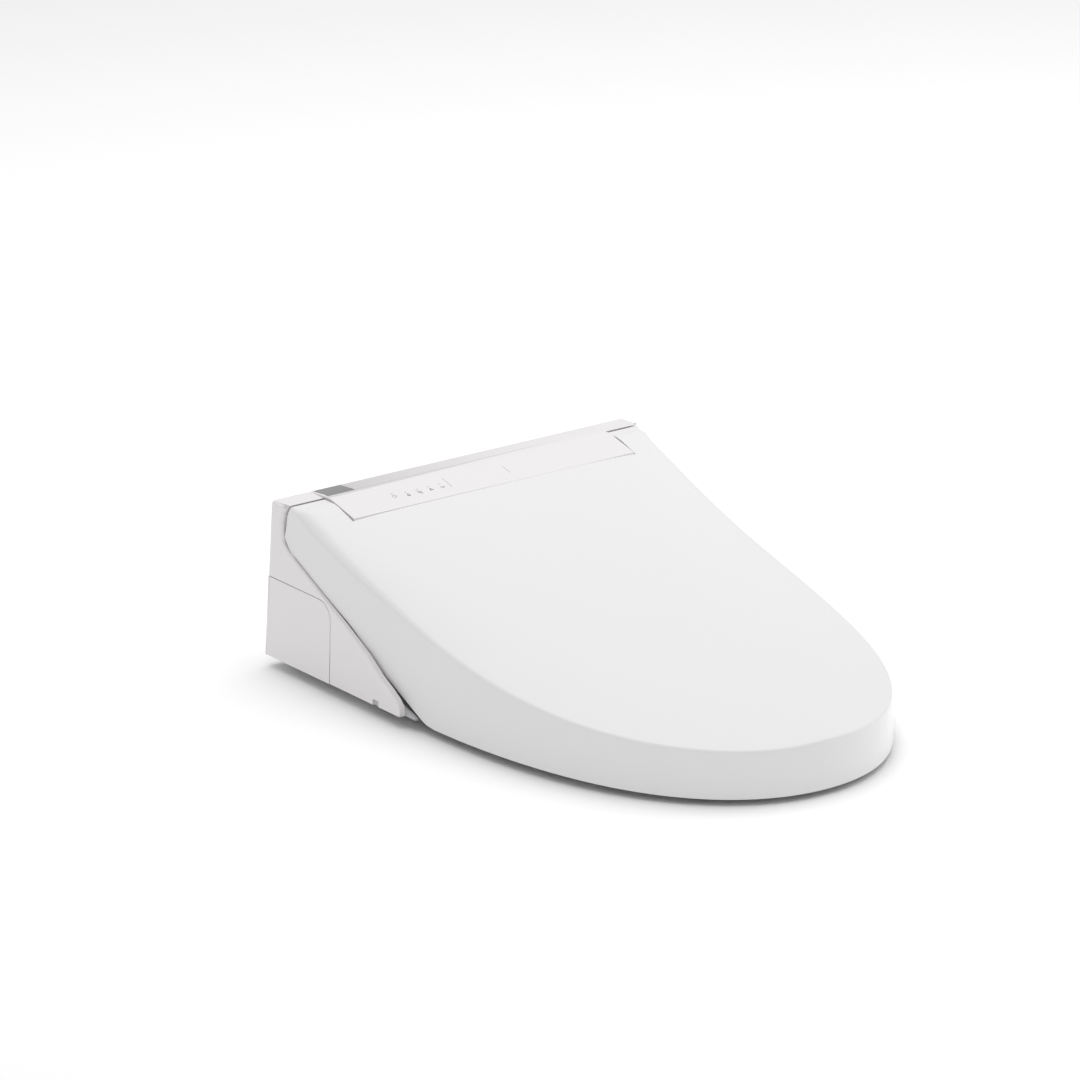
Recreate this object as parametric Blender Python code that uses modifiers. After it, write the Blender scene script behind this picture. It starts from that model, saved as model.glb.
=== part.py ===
"""Electric bidet seat: a washing and drying unit that bolts behind the bowl, with a heated seat and a lid.

Frame: +Z up, -Y towards the front of the seat, origin on the bowl's rim plane under the middle of the object.
All sizes below are millimetres. MM turns them into Blender's metres where a mesh is made.
"""
import math

import bmesh
import bpy
from mathutils import Matrix, Vector

MM = 0.001
GAP = 0.3  # between fixed neighbours

# overall
FRONT_Y = -265.0
REAR_Y = 265.0
CASE_BOTTOM = 10.0
CASE_TOP = 150.5
CASE_HALF_BASE = 192.8  # half width at the case's bottom edge
CASE_HALF_TOP = 188.8  # the sides lean in by 4 mm
REAR_LEAN = 6.0  # how far the rear face leans forward over its height
REAR_ROUND = 4.0  # radius between the top and the rear face
WALL = 3.0

# hinge of the seat and the lid, one shared axis along X
HINGE_Y, HINGE_Z = 218.5, 134.0
PIN_RADIUS = 5.0
PIN_CLEAR = 5.1
EAR_RADIUS = 22.5  # rear round of the lid's two ears
EAR_WALL = 2.8
EAR_GAP = 0.9  # between the ears' round and the hollow of the case behind it

# centre of the case: the sloping front and the strip that fills the lid's cut-out
STRIP_HALF = 150.8
STRIP_FRONT = (191.4, 143.4)  # y, z of the strip's front edge
STRIP_BACK = (226.0, CASE_TOP + 1.5)
SLOT_HALF = 186.9  # inner face of the side wings
COVER_SEAT = 188.3  # |x| of the wings' outer face behind the side covers

# lid
LID_HALF = 183.8
LID_EAR_HALF = 187.6
LID_WIDEN = (60.0, 200.0)  # from y to y the sides spread from the first width to the second
LID_BASE_Y = 89.6  # where the straight sides turn into the front curve
LID_LENGTH = LID_BASE_Y - FRONT_Y
LID_POWER_X, LID_POWER_Y = 2.049, 2.659
LID_BOTTOM = 5.3  # lower edge at the front
LID_BOTTOM_RISE = 2.2  # it climbs this much towards the rear
LID_WALL = 2.8
LID_DRAFT = 1.0
CUTOUT_HALF = 151.9
CUTOUT_RADIUS = 29.6
LID_TOP = 150.3  # highest level of the lid, over its ears
LID_TOP_FRONT = 48.3
LID_EDGE_SLOPE = 0.4975  # of the sides' lower edge
LID_EDGE_FRONT = (50.0, 11.4)  # y, z where that edge starts to climb
LID_OVER_WING = 1.2  # gap between the lid's lower edge and the wing below it

# seat
SEAT_HALF = 172.6
SEAT_POWER_X, SEAT_POWER_Y = 2.175, 2.379
SEAT_MID_Y = -70.0
SEAT_FRONT_Y = -257.0
SEAT_REAR_Y = 128.0
OPENING_HALF = 108.0
OPENING_FRONT_Y, OPENING_REAR_Y = -210.0, 70.0
SEAT_NARROW = 60.0  # where the ring is narrower than this, its edges' insets shrink with it
SEAT_UNDER = 11.0
SEAT_TOP = 38.0
SEAT_WALL = 3.0
ARM_LOW, ARM_HIGH = 153.5, 168.0  # |x| of the two arms that reach the hinge
SEAT_HUB_RADIUS = 11.0

# mounting plate
PLATE_HALF = 140.0
PLATE_FRONT, PLATE_REAR = 118.0, 244.0
PLATE_THICK = 7.0
SLOT_SPACING = 140.0
SLOT_LENGTH, SLOT_WIDTH = 44.0, 11.0
SLOT_Y = 195.0

# wand
WAND_DROP = math.radians(25.0)
WAND_FRONT = (147.0, 42.0)  # y, z of the wand's front end when it is in
WAND_LENGTH = 88.0
WAND_RADIUS = 6.5

FLAP_AXIS = (137.9, 50.0)  # y, z of the air flap's upper edge


def clear_scene():
    for item in list(bpy.data.objects):
        bpy.data.objects.remove(item, do_unlink=True)


def collection(name):
    made = bpy.data.collections.new(name)
    bpy.context.scene.collection.children.link(made)
    return made


def material(name, color, roughness, metallic=0.0):
    made = bpy.data.materials.new(name)
    made.use_nodes = True
    shader = made.node_tree.nodes["Principled BSDF"]
    shader.inputs["Base Color"].default_value = (*color, 1.0)
    shader.inputs["Roughness"].default_value = roughness
    shader.inputs["Metallic"].default_value = metallic
    made.diffuse_color = (*color, 1.0)
    return made


def add(name, mesh, finish, place=None):
    """Puts a mesh in the object's collection as the sub-part of this name."""
    made = bpy.data.objects.new(name, mesh)
    PARTS.objects.link(made)
    mesh.materials.clear()
    mesh.materials.append(finish)
    if place is not None:
        made.matrix_world = place
    return made


def as_cutter(item):
    """Turns an object into a hidden shape that other objects are cut or joined with."""
    for home in list(item.users_collection):
        home.objects.unlink(item)
    CUTTERS.objects.link(item)
    item.hide_render = True
    item.display_type = "WIRE"
    return item


def boolean(item, other, operation="DIFFERENCE"):
    step = item.modifiers.new(operation.lower(), "BOOLEAN")
    step.operation = operation
    step.solver = "EXACT"
    step.object = as_cutter(other)
    return item


def bevel(item, width, segments=2, angle=35.0):
    step = item.modifiers.new("edges", "BEVEL")
    step.width = width * MM
    step.segments = segments
    step.limit_method = "ANGLE"
    step.angle_limit = math.radians(angle)
    return item


def box(name, low, high, finish, round_edges=0.0):
    """An upright block between two corners."""
    size = [b - a for a, b in zip(low, high)]
    middle = [(a + b) / 2 * MM for a, b in zip(low, high)]
    bm = bmesh.new()
    bmesh.ops.create_cube(bm, size=MM)
    bmesh.ops.scale(bm, vec=size, verts=bm.verts)
    mesh = bpy.data.meshes.new(name)
    bm.to_mesh(mesh)
    bm.free()
    made = add(name, mesh, finish, Matrix.Translation(middle))
    if round_edges:
        bevel(made, round_edges)
    return made


def rod(name, start, end, radius, finish, round_edges=0.0, segments=24):
    """A round bar between two points."""
    a, b = Vector(start) * MM, Vector(end) * MM
    bm = bmesh.new()
    bmesh.ops.create_cone(bm, cap_ends=True, segments=segments, radius1=radius * MM,
                          radius2=radius * MM, depth=(b - a).length)
    mesh = bpy.data.meshes.new(name)
    bm.to_mesh(mesh)
    bm.free()
    turn = (b - a).to_track_quat("Z", "Y").to_matrix().to_4x4()
    made = add(name, mesh, finish, Matrix.Translation((a + b) / 2) @ turn)
    mesh.shade_smooth()
    mesh.set_sharp_from_angle(angle=math.radians(40))
    if round_edges:
        bevel(made, round_edges)
    return made


def turned(name, profile, base, direction, finish, steps=24):
    """A turned piece: profile holds (radius, height) pairs, top to bottom on its outer side."""
    bm = bmesh.new()
    ring = [bm.verts.new((r * MM, 0.0, h * MM)) for r, h in profile]
    for a, b in zip(ring, ring[1:]):
        bm.edges.new((a, b))
    if profile[0][0] > 0:
        bm.edges.new((ring[-1], ring[0]))
    mesh = bpy.data.meshes.new(name)
    bm.to_mesh(mesh)
    bm.free()
    turn = Vector(direction).to_track_quat("Z", "Y").to_matrix().to_4x4()
    made = add(name, mesh, finish, Matrix.Translation(Vector(base) * MM) @ turn)
    spin = made.modifiers.new("turn", "SCREW")
    spin.steps = spin.render_steps = steps
    spin.use_merge_vertices = True
    spin.merge_threshold = 1e-5
    return made


def arc(center, radius, start, end, steps):
    """Points on an arc in the YZ plane, angles in degrees from +Y towards +Z."""
    return [
        (center[0] + radius * math.cos(math.radians(start + (end - start) * i / steps)),
         center[1] + radius * math.sin(math.radians(start + (end - start) * i / steps)))
        for i in range(steps + 1)
    ]


def slab(name, outline, low, high, finish, axes="YZX", lean=None):
    """A flat outline with thickness. axes names the outline's two axes and the one it is thick along.

    lean, if given, is a function of z that returns the outer face's |x|.
    """
    curve = bpy.data.curves.new(name, "CURVE")
    curve.dimensions = "2D"
    curve.fill_mode = "BOTH"
    curve.extrude = (high - low) / 2 * MM
    line = curve.splines.new("POLY")
    line.points.add(len(outline) - 1)
    for point, (a, b) in zip(line.points, outline):
        point.co = (a * MM, b * MM, 0.0, 1.0)
    line.use_cyclic_u = True
    drawn = bpy.data.objects.new(name + "_outline", curve)
    bpy.context.scene.collection.objects.link(drawn)
    seen = drawn.evaluated_get(bpy.context.evaluated_depsgraph_get())
    mesh = bpy.data.meshes.new_from_object(seen)
    bpy.data.objects.remove(drawn)
    bpy.data.curves.remove(curve)
    bm = bmesh.new()
    bm.from_mesh(mesh)
    bmesh.ops.remove_doubles(bm, verts=bm.verts, dist=1e-6)
    order = ["XYZ".index(letter) for letter in axes]
    for vert in bm.verts:
        place = [0.0, 0.0, 0.0]
        for axis, value in zip(order, (vert.co.x, vert.co.y, vert.co.z + (low + high) / 2 * MM)):
            place[axis] = value
        vert.co = place
        if lean and abs(vert.co.x) > (max(abs(low), abs(high)) - 0.01) * MM:
            vert.co.x = math.copysign(lean(vert.co.z / MM) * MM, vert.co.x)
    bmesh.ops.recalc_face_normals(bm, faces=bm.faces)
    bm.to_mesh(mesh)
    bm.free()
    return add(name, mesh, finish)


def surface(name, rows, finish, close_rows=False, close_ends=False):
    """A sheet through rows of points, each row joined to the next."""
    bm = bmesh.new()
    grid = [[bm.verts.new(Vector(p) * MM) for p in row] for row in rows]
    pairs = list(zip(grid, grid[1:])) + ([(grid[-1], grid[0])] if close_ends else [])
    for one, two in pairs:
        count = len(one) if close_rows else len(one) - 1
        for i in range(count):
            j = (i + 1) % len(one)
            bm.faces.new((one[i], one[j], two[j], two[i]))
    bmesh.ops.remove_doubles(bm, verts=bm.verts, dist=1e-5)
    bmesh.ops.dissolve_degenerate(bm, edges=bm.edges, dist=1e-6)
    bmesh.ops.recalc_face_normals(bm, faces=bm.faces)
    mesh = bpy.data.meshes.new(name)
    bm.to_mesh(mesh)
    bm.free()
    return add(name, mesh, finish)


def thicken(item, thickness, offset=-1.0):
    step = item.modifiers.new("wall", "SOLIDIFY")
    step.thickness = thickness * MM
    step.offset = offset
    return item


def mirror_x(item):
    step = item.modifiers.new("other_half", "MIRROR")
    step.use_axis = (True, False, False)
    step.use_clip = True
    step.merge_threshold = 1e-5
    return item


# ---------------------------------------------------------------- shared shapes

def case_half(z):
    """Half width of the case at a height."""
    share = (z - CASE_BOTTOM) / (CASE_TOP - CASE_BOTTOM)
    return CASE_HALF_BASE + (CASE_HALF_TOP - CASE_HALF_BASE) * share


def rear_y(z):
    """The leaning rear face."""
    return REAR_Y - REAR_LEAN * (z - CASE_BOTTOM) / (CASE_TOP - CASE_BOTTOM)


def smooth(share):
    """Eases from 0 to 1."""
    share = min(1.0, max(0.0, share))
    return share * share * (3.0 - 2.0 * share)


def lid_half(y):
    """The lid's half width at the skirt's bottom edge."""
    start, end = LID_WIDEN
    spread = (LID_EAR_HALF - LID_HALF) * smooth((y - start) / (end - start))
    along = min(1.0, max(0.0, LID_BASE_Y - y) / LID_LENGTH)
    return LID_HALF * (1.0 - along ** LID_POWER_Y) ** (1.0 / LID_POWER_X) + spread


def lid_bottom(y):
    """Height of the skirt's lower edge before the sides are trimmed."""
    return LID_BOTTOM + LID_BOTTOM_RISE * smooth((y - FRONT_Y) / 200.0)


def lid_edge_z(y):
    """Height of the edge between the lid's top and its skirt."""
    back = (y - REAR_Y) / 100.0
    return 172.7 + 53.07 * back + 6.945 * back ** 2 + 0.272 * back ** 3


def lid_center_z(y):
    """Height of the lid along its middle: a smooth curve from the strip to the front edge."""
    span = STRIP_FRONT[0] - FRONT_Y
    t = (STRIP_FRONT[0] - y) / span
    start, end = STRIP_FRONT[1], LID_TOP_FRONT
    slope_start, slope_end = -0.30 * span, -0.06 * span
    if t < 0:
        return start + slope_start * t
    return ((2 * t ** 3 - 3 * t ** 2 + 1) * start + (t ** 3 - 2 * t ** 2 + t) * slope_start
            + (-2 * t ** 3 + 3 * t ** 2) * end + (t ** 3 - t ** 2) * slope_end)


def lid_top_z(x, y):
    """The crowned top: flat across the middle at the rear, evenly round at the front."""
    edge = min(lid_edge_z(y), LID_TOP - 1.5)
    crown = max(0.0, min(lid_center_z(y), LID_TOP) - edge)
    share = max(0.0, (y - FRONT_Y) / (HINGE_Y - FRONT_Y))
    power = 1.95 + 5.0 * share ** 2
    across = min(1.0, abs(x) / max(lid_half(y), 1.0))
    return edge + crown * (1.0 - across ** power)


def lid_round(y):
    """Radius of the edge between top and skirt: tight at the front, wide at the hinge."""
    share = max(0.0, (y - FRONT_Y) / (HINGE_Y - FRONT_Y))
    return 2.5 + 9.0 * share ** 4


def lid_side_outline():
    """The lid's trimmed outline from the side: ear round, then the lower edge just over the wing."""
    top = math.degrees(math.asin((LID_TOP - HINGE_Z) / EAR_RADIUS))
    ear = arc((HINGE_Y, HINGE_Z), EAR_RADIUS, top + 3.0, 0.0, 6)
    over_wing = [(240.1, 122.4), (238.0, 116.4), (233.4, 112.1), (227.7, 108.9),
                 (149.5, 68.7 + LID_OVER_WING), (140.0, 62.8 + LID_OVER_WING)]
    behind_wing = [(y, LID_EDGE_FRONT[1] + LID_EDGE_SLOPE * (y - LID_EDGE_FRONT[0]))
                   for y in (114.0, 100.0)]
    return ear + over_wing + behind_wing + [LID_EDGE_FRONT, (44.0, 8.8), (34.0, lid_bottom(34.0))]


def seat_top_z(y):
    """The seat is level in front and climbs towards the hinge."""
    return SEAT_TOP + 60.0 * (max(0.0, y + 60.0) / 190.0) ** 2


def seat_under_z(y):
    return SEAT_UNDER + 58.0 * (max(0.0, y) / 128.0) ** 1.5


def in_seat(x, y):
    """True inside the seat's outer outline: the lid's own curve in front, soft corners at the rear."""
    if y < LID_BASE_Y:
        along = (LID_BASE_Y - y) / (LID_BASE_Y - SEAT_FRONT_Y)
        return (abs(x) / SEAT_HALF) ** SEAT_POWER_X + along ** SEAT_POWER_Y < 1.0
    along = (y - LID_BASE_Y) / (SEAT_REAR_Y - LID_BASE_Y)
    return (abs(x) / SEAT_HALF) ** 12 + along ** 3 < 1.0


def in_opening(x, y):
    """True inside the seat's opening."""
    reach = (SEAT_MID_Y - OPENING_FRONT_Y) if y < SEAT_MID_Y else (OPENING_REAR_Y - SEAT_MID_Y)
    return (abs(x) / OPENING_HALF) ** 2.2 + (abs(y - SEAT_MID_Y) / reach) ** 2.4 < 1.0


def edge_along(inside, turn):
    """Where a ray from the seat's middle leaves an outline, by halving."""
    near, far = 0.0, 400.0
    for _ in range(30):
        middle = (near + far) / 2
        if inside(middle * math.cos(turn), SEAT_MID_Y + middle * math.sin(turn)):
            near = middle
        else:
            far = middle
    return near * math.cos(turn), SEAT_MID_Y + near * math.sin(turn)


def seat_angles():
    """Even steps in front, closer ones round the two rear corners."""
    front = [math.radians(180 + 180 * i / 24) for i in range(25)]
    right = [math.radians(a) for a in (10, 20, 30, 38, 43, 47, 52, 60, 75)]
    return front + right + [math.pi / 2] + [math.pi - a for a in reversed(right)]


def ring_rows(profile):
    """Rows of points round the seat. A profile point: inset, from the outer edge or not, z(y)."""
    rows = []
    for turn in seat_angles():
        outer, inner = Vector(edge_along(in_seat, turn)), Vector(edge_along(in_opening, turn))
        width = (inner - outer).length
        row = []
        for inset, from_outer, height in profile:
            share = inset / max(width, SEAT_NARROW)
            share = share if from_outer else 1.0 - share
            flat = outer.lerp(inner, share)
            row.append((flat.x, flat.y, height(flat.y)))
        rows.append(row)
    return rows


# ---------------------------------------------------------------- the fixed unit

def make_base_plate():
    plate = box("base_plate", (-PLATE_HALF, PLATE_FRONT, 0.0), (PLATE_HALF, PLATE_REAR, PLATE_THICK),
                FINISH["steel_plate"])
    for side in (-1, 1):
        slot = slab(f"slot_{side}", stadium(side * SLOT_SPACING / 2, SLOT_Y, SLOT_LENGTH, SLOT_WIDTH),
                    -5.0, PLATE_THICK + 5.0, FINISH["steel_plate"], axes="XYZ")
        boolean(plate, slot)
    rail = slab("rail_recess", [(-100, 130), (100, 130), (100, 150), (-100, 150)], PLATE_THICK - 2.5,
                PLATE_THICK + 5, FINISH["steel_plate"], axes="XYZ")
    return boolean(plate, rail)


def stadium(x, y, length, width):
    """A slot's outline with its long side along Y."""
    r = width / 2
    reach = length / 2 - r
    ends = [(x + r * math.cos(math.radians(a)), y + reach + r * math.sin(math.radians(a)))
            for a in range(0, 181, 30)]
    return ends + [(x + r * math.cos(math.radians(a)), y - reach + r * math.sin(math.radians(a)))
                   for a in range(180, 361, 30)]


def make_lower_case():
    """The tray under the unit, with a low rail along each side of the seat."""
    floor = [(-184, 124), (184, 124), (184, 258), (-184, 258)]
    tray = slab("lower_case", floor, CASE_BOTTOM, CASE_BOTTOM + 2.5, FINISH["grey_abs"], axes="XYZ")
    for side in (-1, 1):
        rail = [(54, CASE_BOTTOM), (55, CASE_BOTTOM + 1.8), (60, CASE_BOTTOM + 3.6), (78, CASE_BOTTOM + 9),
                (130, CASE_BOTTOM + 12), (130, CASE_BOTTOM)]
        low, high = sorted((side * 183.2, side * (SLOT_HALF - GAP)))
        boolean(tray, slab(f"rail_{side}", rail, low, high, FINISH["grey_abs"]), "UNION")
    for y in (150.0, 250.0):
        rib = box(f"tray_rib_{y:.0f}", (-138, y - 1.2, CASE_BOTTOM + 1), (138, y + 1.2, CASE_BOTTOM + 7),
                  FINISH["grey_abs"])
        boolean(tray, rib, "UNION")
    return boolean(tray, box("button_notch", (-190, 96, 5), (-180, 110, 17.6), FINISH["grey_abs"]))


def rear_round(inset=0.0, end=90.0):
    """The round from the leaning rear face up to the top, as seen from the side."""
    lean = math.atan2(REAR_LEAN, CASE_TOP - CASE_BOTTOM)
    level = CASE_TOP - REAR_ROUND
    middle = (rear_y(level) - REAR_ROUND / math.cos(lean), level)
    return arc(middle, REAR_ROUND - inset, math.degrees(lean) if end == 90.0 else end, 90.0, 6)


def ear_hollow(steps=7):
    """The hollow behind an ear, concentric with the hinge, from the case's top down."""
    radius = EAR_RADIUS + EAR_GAP
    top = math.degrees(math.asin((CASE_TOP - HINGE_Z) / radius))
    return arc((HINGE_Y, HINGE_Z), radius, top, 0.0, steps)


def wing_outline():
    """Outline of the case's side from the side, with the climbing edge under the lid."""
    return ([(rear_y(CASE_BOTTOM), CASE_BOTTOM)] + rear_round() + ear_hollow()
            + [(241.2, 122.0), (239.0, 115.5), (234.0, 111.0), (228.2, 107.7),
               (150.0, 68.8), (117.0, 50.8), (98.0, 37.5), (84.0, 30.0), (74.0, 23.6), (69.5, 18.6),
               (68.0, 14.0), (69.0, CASE_BOTTOM)])


def center_outline(inset=0.0):
    """Outline of the case's middle from the side: sloping front, strip on top, rear wall."""
    front_y, front_z = STRIP_FRONT
    outline = [
        (rear_y(CASE_BOTTOM) - inset, CASE_BOTTOM - (5.0 if inset else 0.0)),
        *rear_round(inset),
        (STRIP_BACK[0] + 12.0, STRIP_BACK[1] - inset),
        (STRIP_BACK[0], STRIP_BACK[1] - inset),
        (front_y + inset, front_z - inset),
        (front_y - 1.5 + inset, front_z - 6.0 - inset / 2),
        (182.0 + inset, 116.0),
        (160.0 + inset, 80.0),
        (139.0 + inset, 48.0),
        (132.0 + inset, 30.0),
        (126.0 + inset, CASE_BOTTOM - (5.0 if inset else 0.0)),
    ]
    return outline


def cover_outline(grow=0.0):
    """Outline of a removable side cover: square at the rear, rounded at its upper front corner."""
    front, top, radius = 170.0 - grow, 81.0 + grow, 16.0
    return ([(REAR_Y + 3.0, CASE_BOTTOM - 3.0 * bool(grow)), (REAR_Y + 3.0, top + 0.4)]
            + arc((front + radius, top - radius), radius, 90.0, 180.0, 6)
            + [(front, CASE_BOTTOM - 3.0 * bool(grow))])


def make_upper_case():
    """Rear wall, top strip, sloping front and side wings in one moulding."""
    white = FINISH["gloss_white"]
    case = slab("upper_case", center_outline(), -STRIP_HALF + 0.8, STRIP_HALF - 0.8, white)
    rear = slab("rear_band", [(rear_y(CASE_BOTTOM), CASE_BOTTOM)] + rear_round() + ear_hollow()
                + [(ear_hollow()[-1][0], CASE_BOTTOM)], -187.2, 187.2, white)
    boolean(case, rear, "UNION")
    for side in (-1, 1):
        low, high = sorted((side * SLOT_HALF, side * 200.0))
        boolean(case, slab(f"wing_{side}", wing_outline(), low, high, white, lean=case_half), "UNION")
    boolean(case, slab("room", center_outline(WALL), -STRIP_HALF + WALL, STRIP_HALF - WALL, white))
    rear_room = [(rear_y(CASE_BOTTOM) - WALL, CASE_BOTTOM - 5), (rear_y(142.0) - WALL, 142.0),
                 (247.0, 142.0), (244.9, 134.0), (244.9, CASE_BOTTOM - 5)]
    boolean(case, slab("rear_room", rear_room, -184.0, 184.0, white))
    for side in (-1, 1):
        low, high = sorted((side * COVER_SEAT, side * 205.0))
        boolean(case, slab(f"cover_seat_{side}", cover_outline(GAP), low, high, white))
        low, high = sorted((side * 120.0, side * 160.0))
        boolean(case, rod(f"pin_hole_{side}", (low, HINGE_Y, HINGE_Z), (high, HINGE_Y, HINGE_Z), 5.4, white))
    boolean(case, box("wand_port", (-13, 110, 25), (13, 165, 58), white))
    boolean(case, box("air_port", (34, 110, 27), (84, 165, 51), white))
    boolean(case, slab("window_seat", window_outline(GAP), -147.0 - GAP, -119.0 + GAP, white))
    boolean(case, box("panel_seat", (-100.3, 198.7, 143.0), (-34.7, 216.3, 170.0), white))
    boolean(case, rod("inlet_hole", (150, 235, 42), (150, 290, 42), 13.0, white))
    boolean(case, rod("gland_hole", (110, 235, 108), (110, 290, 108), 6.4, white))
    boolean(case, box("button_slot", (-205, 99.4, 4), (-183, 107.1, 15.0), white))
    boolean(case, box("tray_room", (-186.9, 44, 5), (186.9, 262, 13.0), white))
    return case


def make_side_covers():
    for side, word in ((-1, "left"), (1, "right")):
        low, high = sorted((side * (COVER_SEAT + GAP), side * 200.0))
        cover = slab(f"side_cover_{word}", wing_outline(), low, high, FINISH["gloss_white"], lean=case_half)
        keep = slab(f"cover_limit_{word}", cover_outline(), low - 9, high + 9, FINISH["gloss_white"])
        boolean(cover, keep, "INTERSECT")


def window_outline(grow=0.0):
    """The dark window from the side: it wraps from the top over the rear round."""
    outer, inner = (-9.0, 1.3 + grow) if grow else (0.0, 1.3)
    front = 234.0 - grow
    end = 45.0 - 6.0 * grow
    top = STRIP_BACK[1]
    flat = [(238.0, top - outer), (front, top - outer), (front, top - inner), (238.0, top - inner)]
    return rear_round(outer, end) + flat + rear_round(inner, end)[::-1]


def strip_z(y):
    """Height of the sloping strip."""
    slope = (STRIP_BACK[1] - STRIP_FRONT[1]) / (STRIP_BACK[0] - STRIP_FRONT[0])
    return STRIP_FRONT[1] + slope * (y - STRIP_FRONT[0])


def make_top_inlays():
    slab("sensor_window", window_outline(), -147.0, -119.0, FINISH["smoked_window"])
    outline = [(199.0, 143.4), (216.0, 143.4), (216.0, strip_z(216.0)), (199.0, strip_z(199.0))]
    slab("indicator_panel", outline, -100.0, -35.0, FINISH["gloss_white"])


# ---------------------------------------------------------------- inside the unit

def wand_point(along, side=0.0):
    """A point on the wand's axis, measured back and up from its front end."""
    return (side, WAND_FRONT[0] + along * math.cos(WAND_DROP), WAND_FRONT[1] + along * math.sin(WAND_DROP))


def make_wand():
    reach = Vector(wand_point(1.0)) - Vector(wand_point(0.0))
    rod("wand_tube", wand_point(20.3), wand_point(WAND_LENGTH), WAND_RADIUS, FINISH["satin_white"], 0.8)
    tip = rod("wand_tip", wand_point(0.0), wand_point(20.0), WAND_RADIUS, FINISH["satin_white"], 1.5)
    lift = reach.cross(Vector((1, 0, 0))) * -1
    for along in (6.0, 12.0):
        mouth = Vector(wand_point(along)) + lift * 4.0
        boolean(tip, rod(f"mouth_{along:.0f}", mouth, mouth + lift * 8.0, 1.2, FINISH["satin_white"],
                         segments=10))
    cradle = box("wand_cradle", (-17, -6, -11), (17, 72, -8.2), FINISH["grey_abs"])
    cradle.matrix_world = wand_frame() @ cradle.matrix_world
    for side in (-1, 1):
        wall = box(f"cradle_wall_{side}", (side * 12.5 - 2, -6, -11), (side * 12.5 + 2, 72, 6),
                   FINISH["grey_abs"])
        wall.matrix_world = wand_frame() @ wall.matrix_world
        boolean(cradle, wall, "UNION")
    motor = box("wand_motor", (-16, 40, 10), (16, 68, 34), FINISH["black_plastic"], 2.0)
    motor.matrix_world = wand_frame() @ motor.matrix_world


def wand_frame():
    """Local +Y runs back along the wand, from a point 12 mm behind its front end."""
    return Matrix.Translation(Vector(wand_point(12.0)) * MM) @ Matrix.Rotation(WAND_DROP, 4, "X")


def make_water_parts():
    rod("water_inlet", (150, 238, 42), (150, 261.6, 42), 10.3, FINISH["chrome"], 1.0)
    box("inlet_valve", (128, 206, 24), (147.4, 236, 60), FINISH["grey_abs"], 2.0)
    rod("water_heater", (-120, 205, 44), (-34, 205, 44), 24.0, FINISH["white_abs"], 3.0)
    box("air_pump", (-140, 180, 72), (-92, 218, 97), FINISH["black_plastic"], 2.0)
    box("flow_valve", (-84, 182, 74), (-50, 210, 97), FINISH["grey_abs"], 2.0)


def make_air_parts():
    """The fan, its housing, the heater and the duct behind the flap."""
    housing = turned("fan_housing", [(30, 26), (30, 0), (27.5, 0), (27.5, 23.5), (10, 23.5), (10, 26)],
                     (92, 213, 16), (0, 0, 1), FINISH["grey_abs"])
    boolean(housing, box("fan_outlet", (78, 176, 20), (106, 193, 38), FINISH["grey_abs"]))
    wheel = turned("fan_wheel", [(24, 16), (24, 0), (5, 0), (5, 16)], (92, 213, 20), (0, 0, 1),
                   FINISH["black_plastic"])
    for i in range(9):
        turn = math.radians(40 * i)
        gap = box(f"blade_gap_{i}", (10, -2.2, 3), (30, 2.2, 30), FINISH["black_plastic"])
        gap.matrix_world = (Matrix.Translation(Vector((92, 213, 20)) * MM)
                            @ Matrix.Rotation(turn, 4, "Z") @ gap.matrix_world)
        boolean(wheel, gap)
    rod("fan_motor", (92, 213, 44.0), (92, 213, 66), 16.0, FINISH["steel"], 1.5)
    duct = box("air_duct", (36, 146, 28), (82, 180, 50), FINISH["grey_abs"])
    boolean(duct, box("duct_room", (38, 140, 30), (80, 190, 48), FINISH["grey_abs"]))
    box("air_heater", (40, 156, 31), (78, 172, 47), FINISH["steel"], 0.8)


def make_air_flap():
    """A flap in the sloping front, hung on its upper edge."""
    flap = box("air_flap", (35, -1.2, -22.6), (83, 1.2, -0.6), FINISH["gloss_white"], 0.6)
    flap.matrix_world = flap_frame() @ flap.matrix_world
    return flap


def flap_frame():
    lean = math.atan2(7.0, 18.0)
    return Matrix.Translation(Vector((0, *FLAP_AXIS)) * MM) @ Matrix.Rotation(lean * -1, 4, "X")


def make_electronics():
    box("control_board", (30, 186, 112), (140, 228, 113.6), FINISH["board_green"])
    box("power_board", (30, 236.5, 60), (102, 238.1, 106), FINISH["board_green"])
    box("transformer", (36, 208, 72), (76, 236, 104), FINISH["black_plastic"], 2.0)
    turned("cord_gland", [(9, 5.5), (9, 2.0), (6.2, 2.0), (6.2, -5.5), (3.4, -5.5), (3.4, 5.5)],
           (110, rear_y(99.0) - 1.9, 108), (0, 1, 0), FINISH["black_rubber"])


def make_hinge_parts():
    for side, word in ((-1, "left"), (1, "right")):
        rod(f"hinge_pin_{word}", (side * 126, HINGE_Y, HINGE_Z), (side * 181.6, HINGE_Y, HINGE_Z),
            PIN_RADIUS, FINISH["steel"], 0.6, segments=20)
        low, high = sorted((side * 124.0, side * 147.3))
        block = box(f"hinge_block_{word}", (low, HINGE_Y - 12, HINGE_Z - 14),
                    (high, HINGE_Y + 12, HINGE_Z + 8), FINISH["grey_abs"], 1.5)
        boolean(block, rod(f"block_bore_{word}", (side * 120, HINGE_Y, HINGE_Z),
                           (side * 152, HINGE_Y, HINGE_Z), 5.3, FINISH["grey_abs"], segments=20))
    rod("seat_damper", (-123, HINGE_Y, HINGE_Z), (-72, HINGE_Y, HINGE_Z), 8.0, FINISH["steel"], 1.0)
    rod("lid_damper", (72, HINGE_Y, HINGE_Z), (123, HINGE_Y, HINGE_Z), 8.0, FINISH["steel"], 1.0)


def make_release_button():
    return box("release_button", (-191.6, 100, 10.4), (-185, 106.5, 14.6), FINISH["grey_abs"], 0.6)


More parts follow.
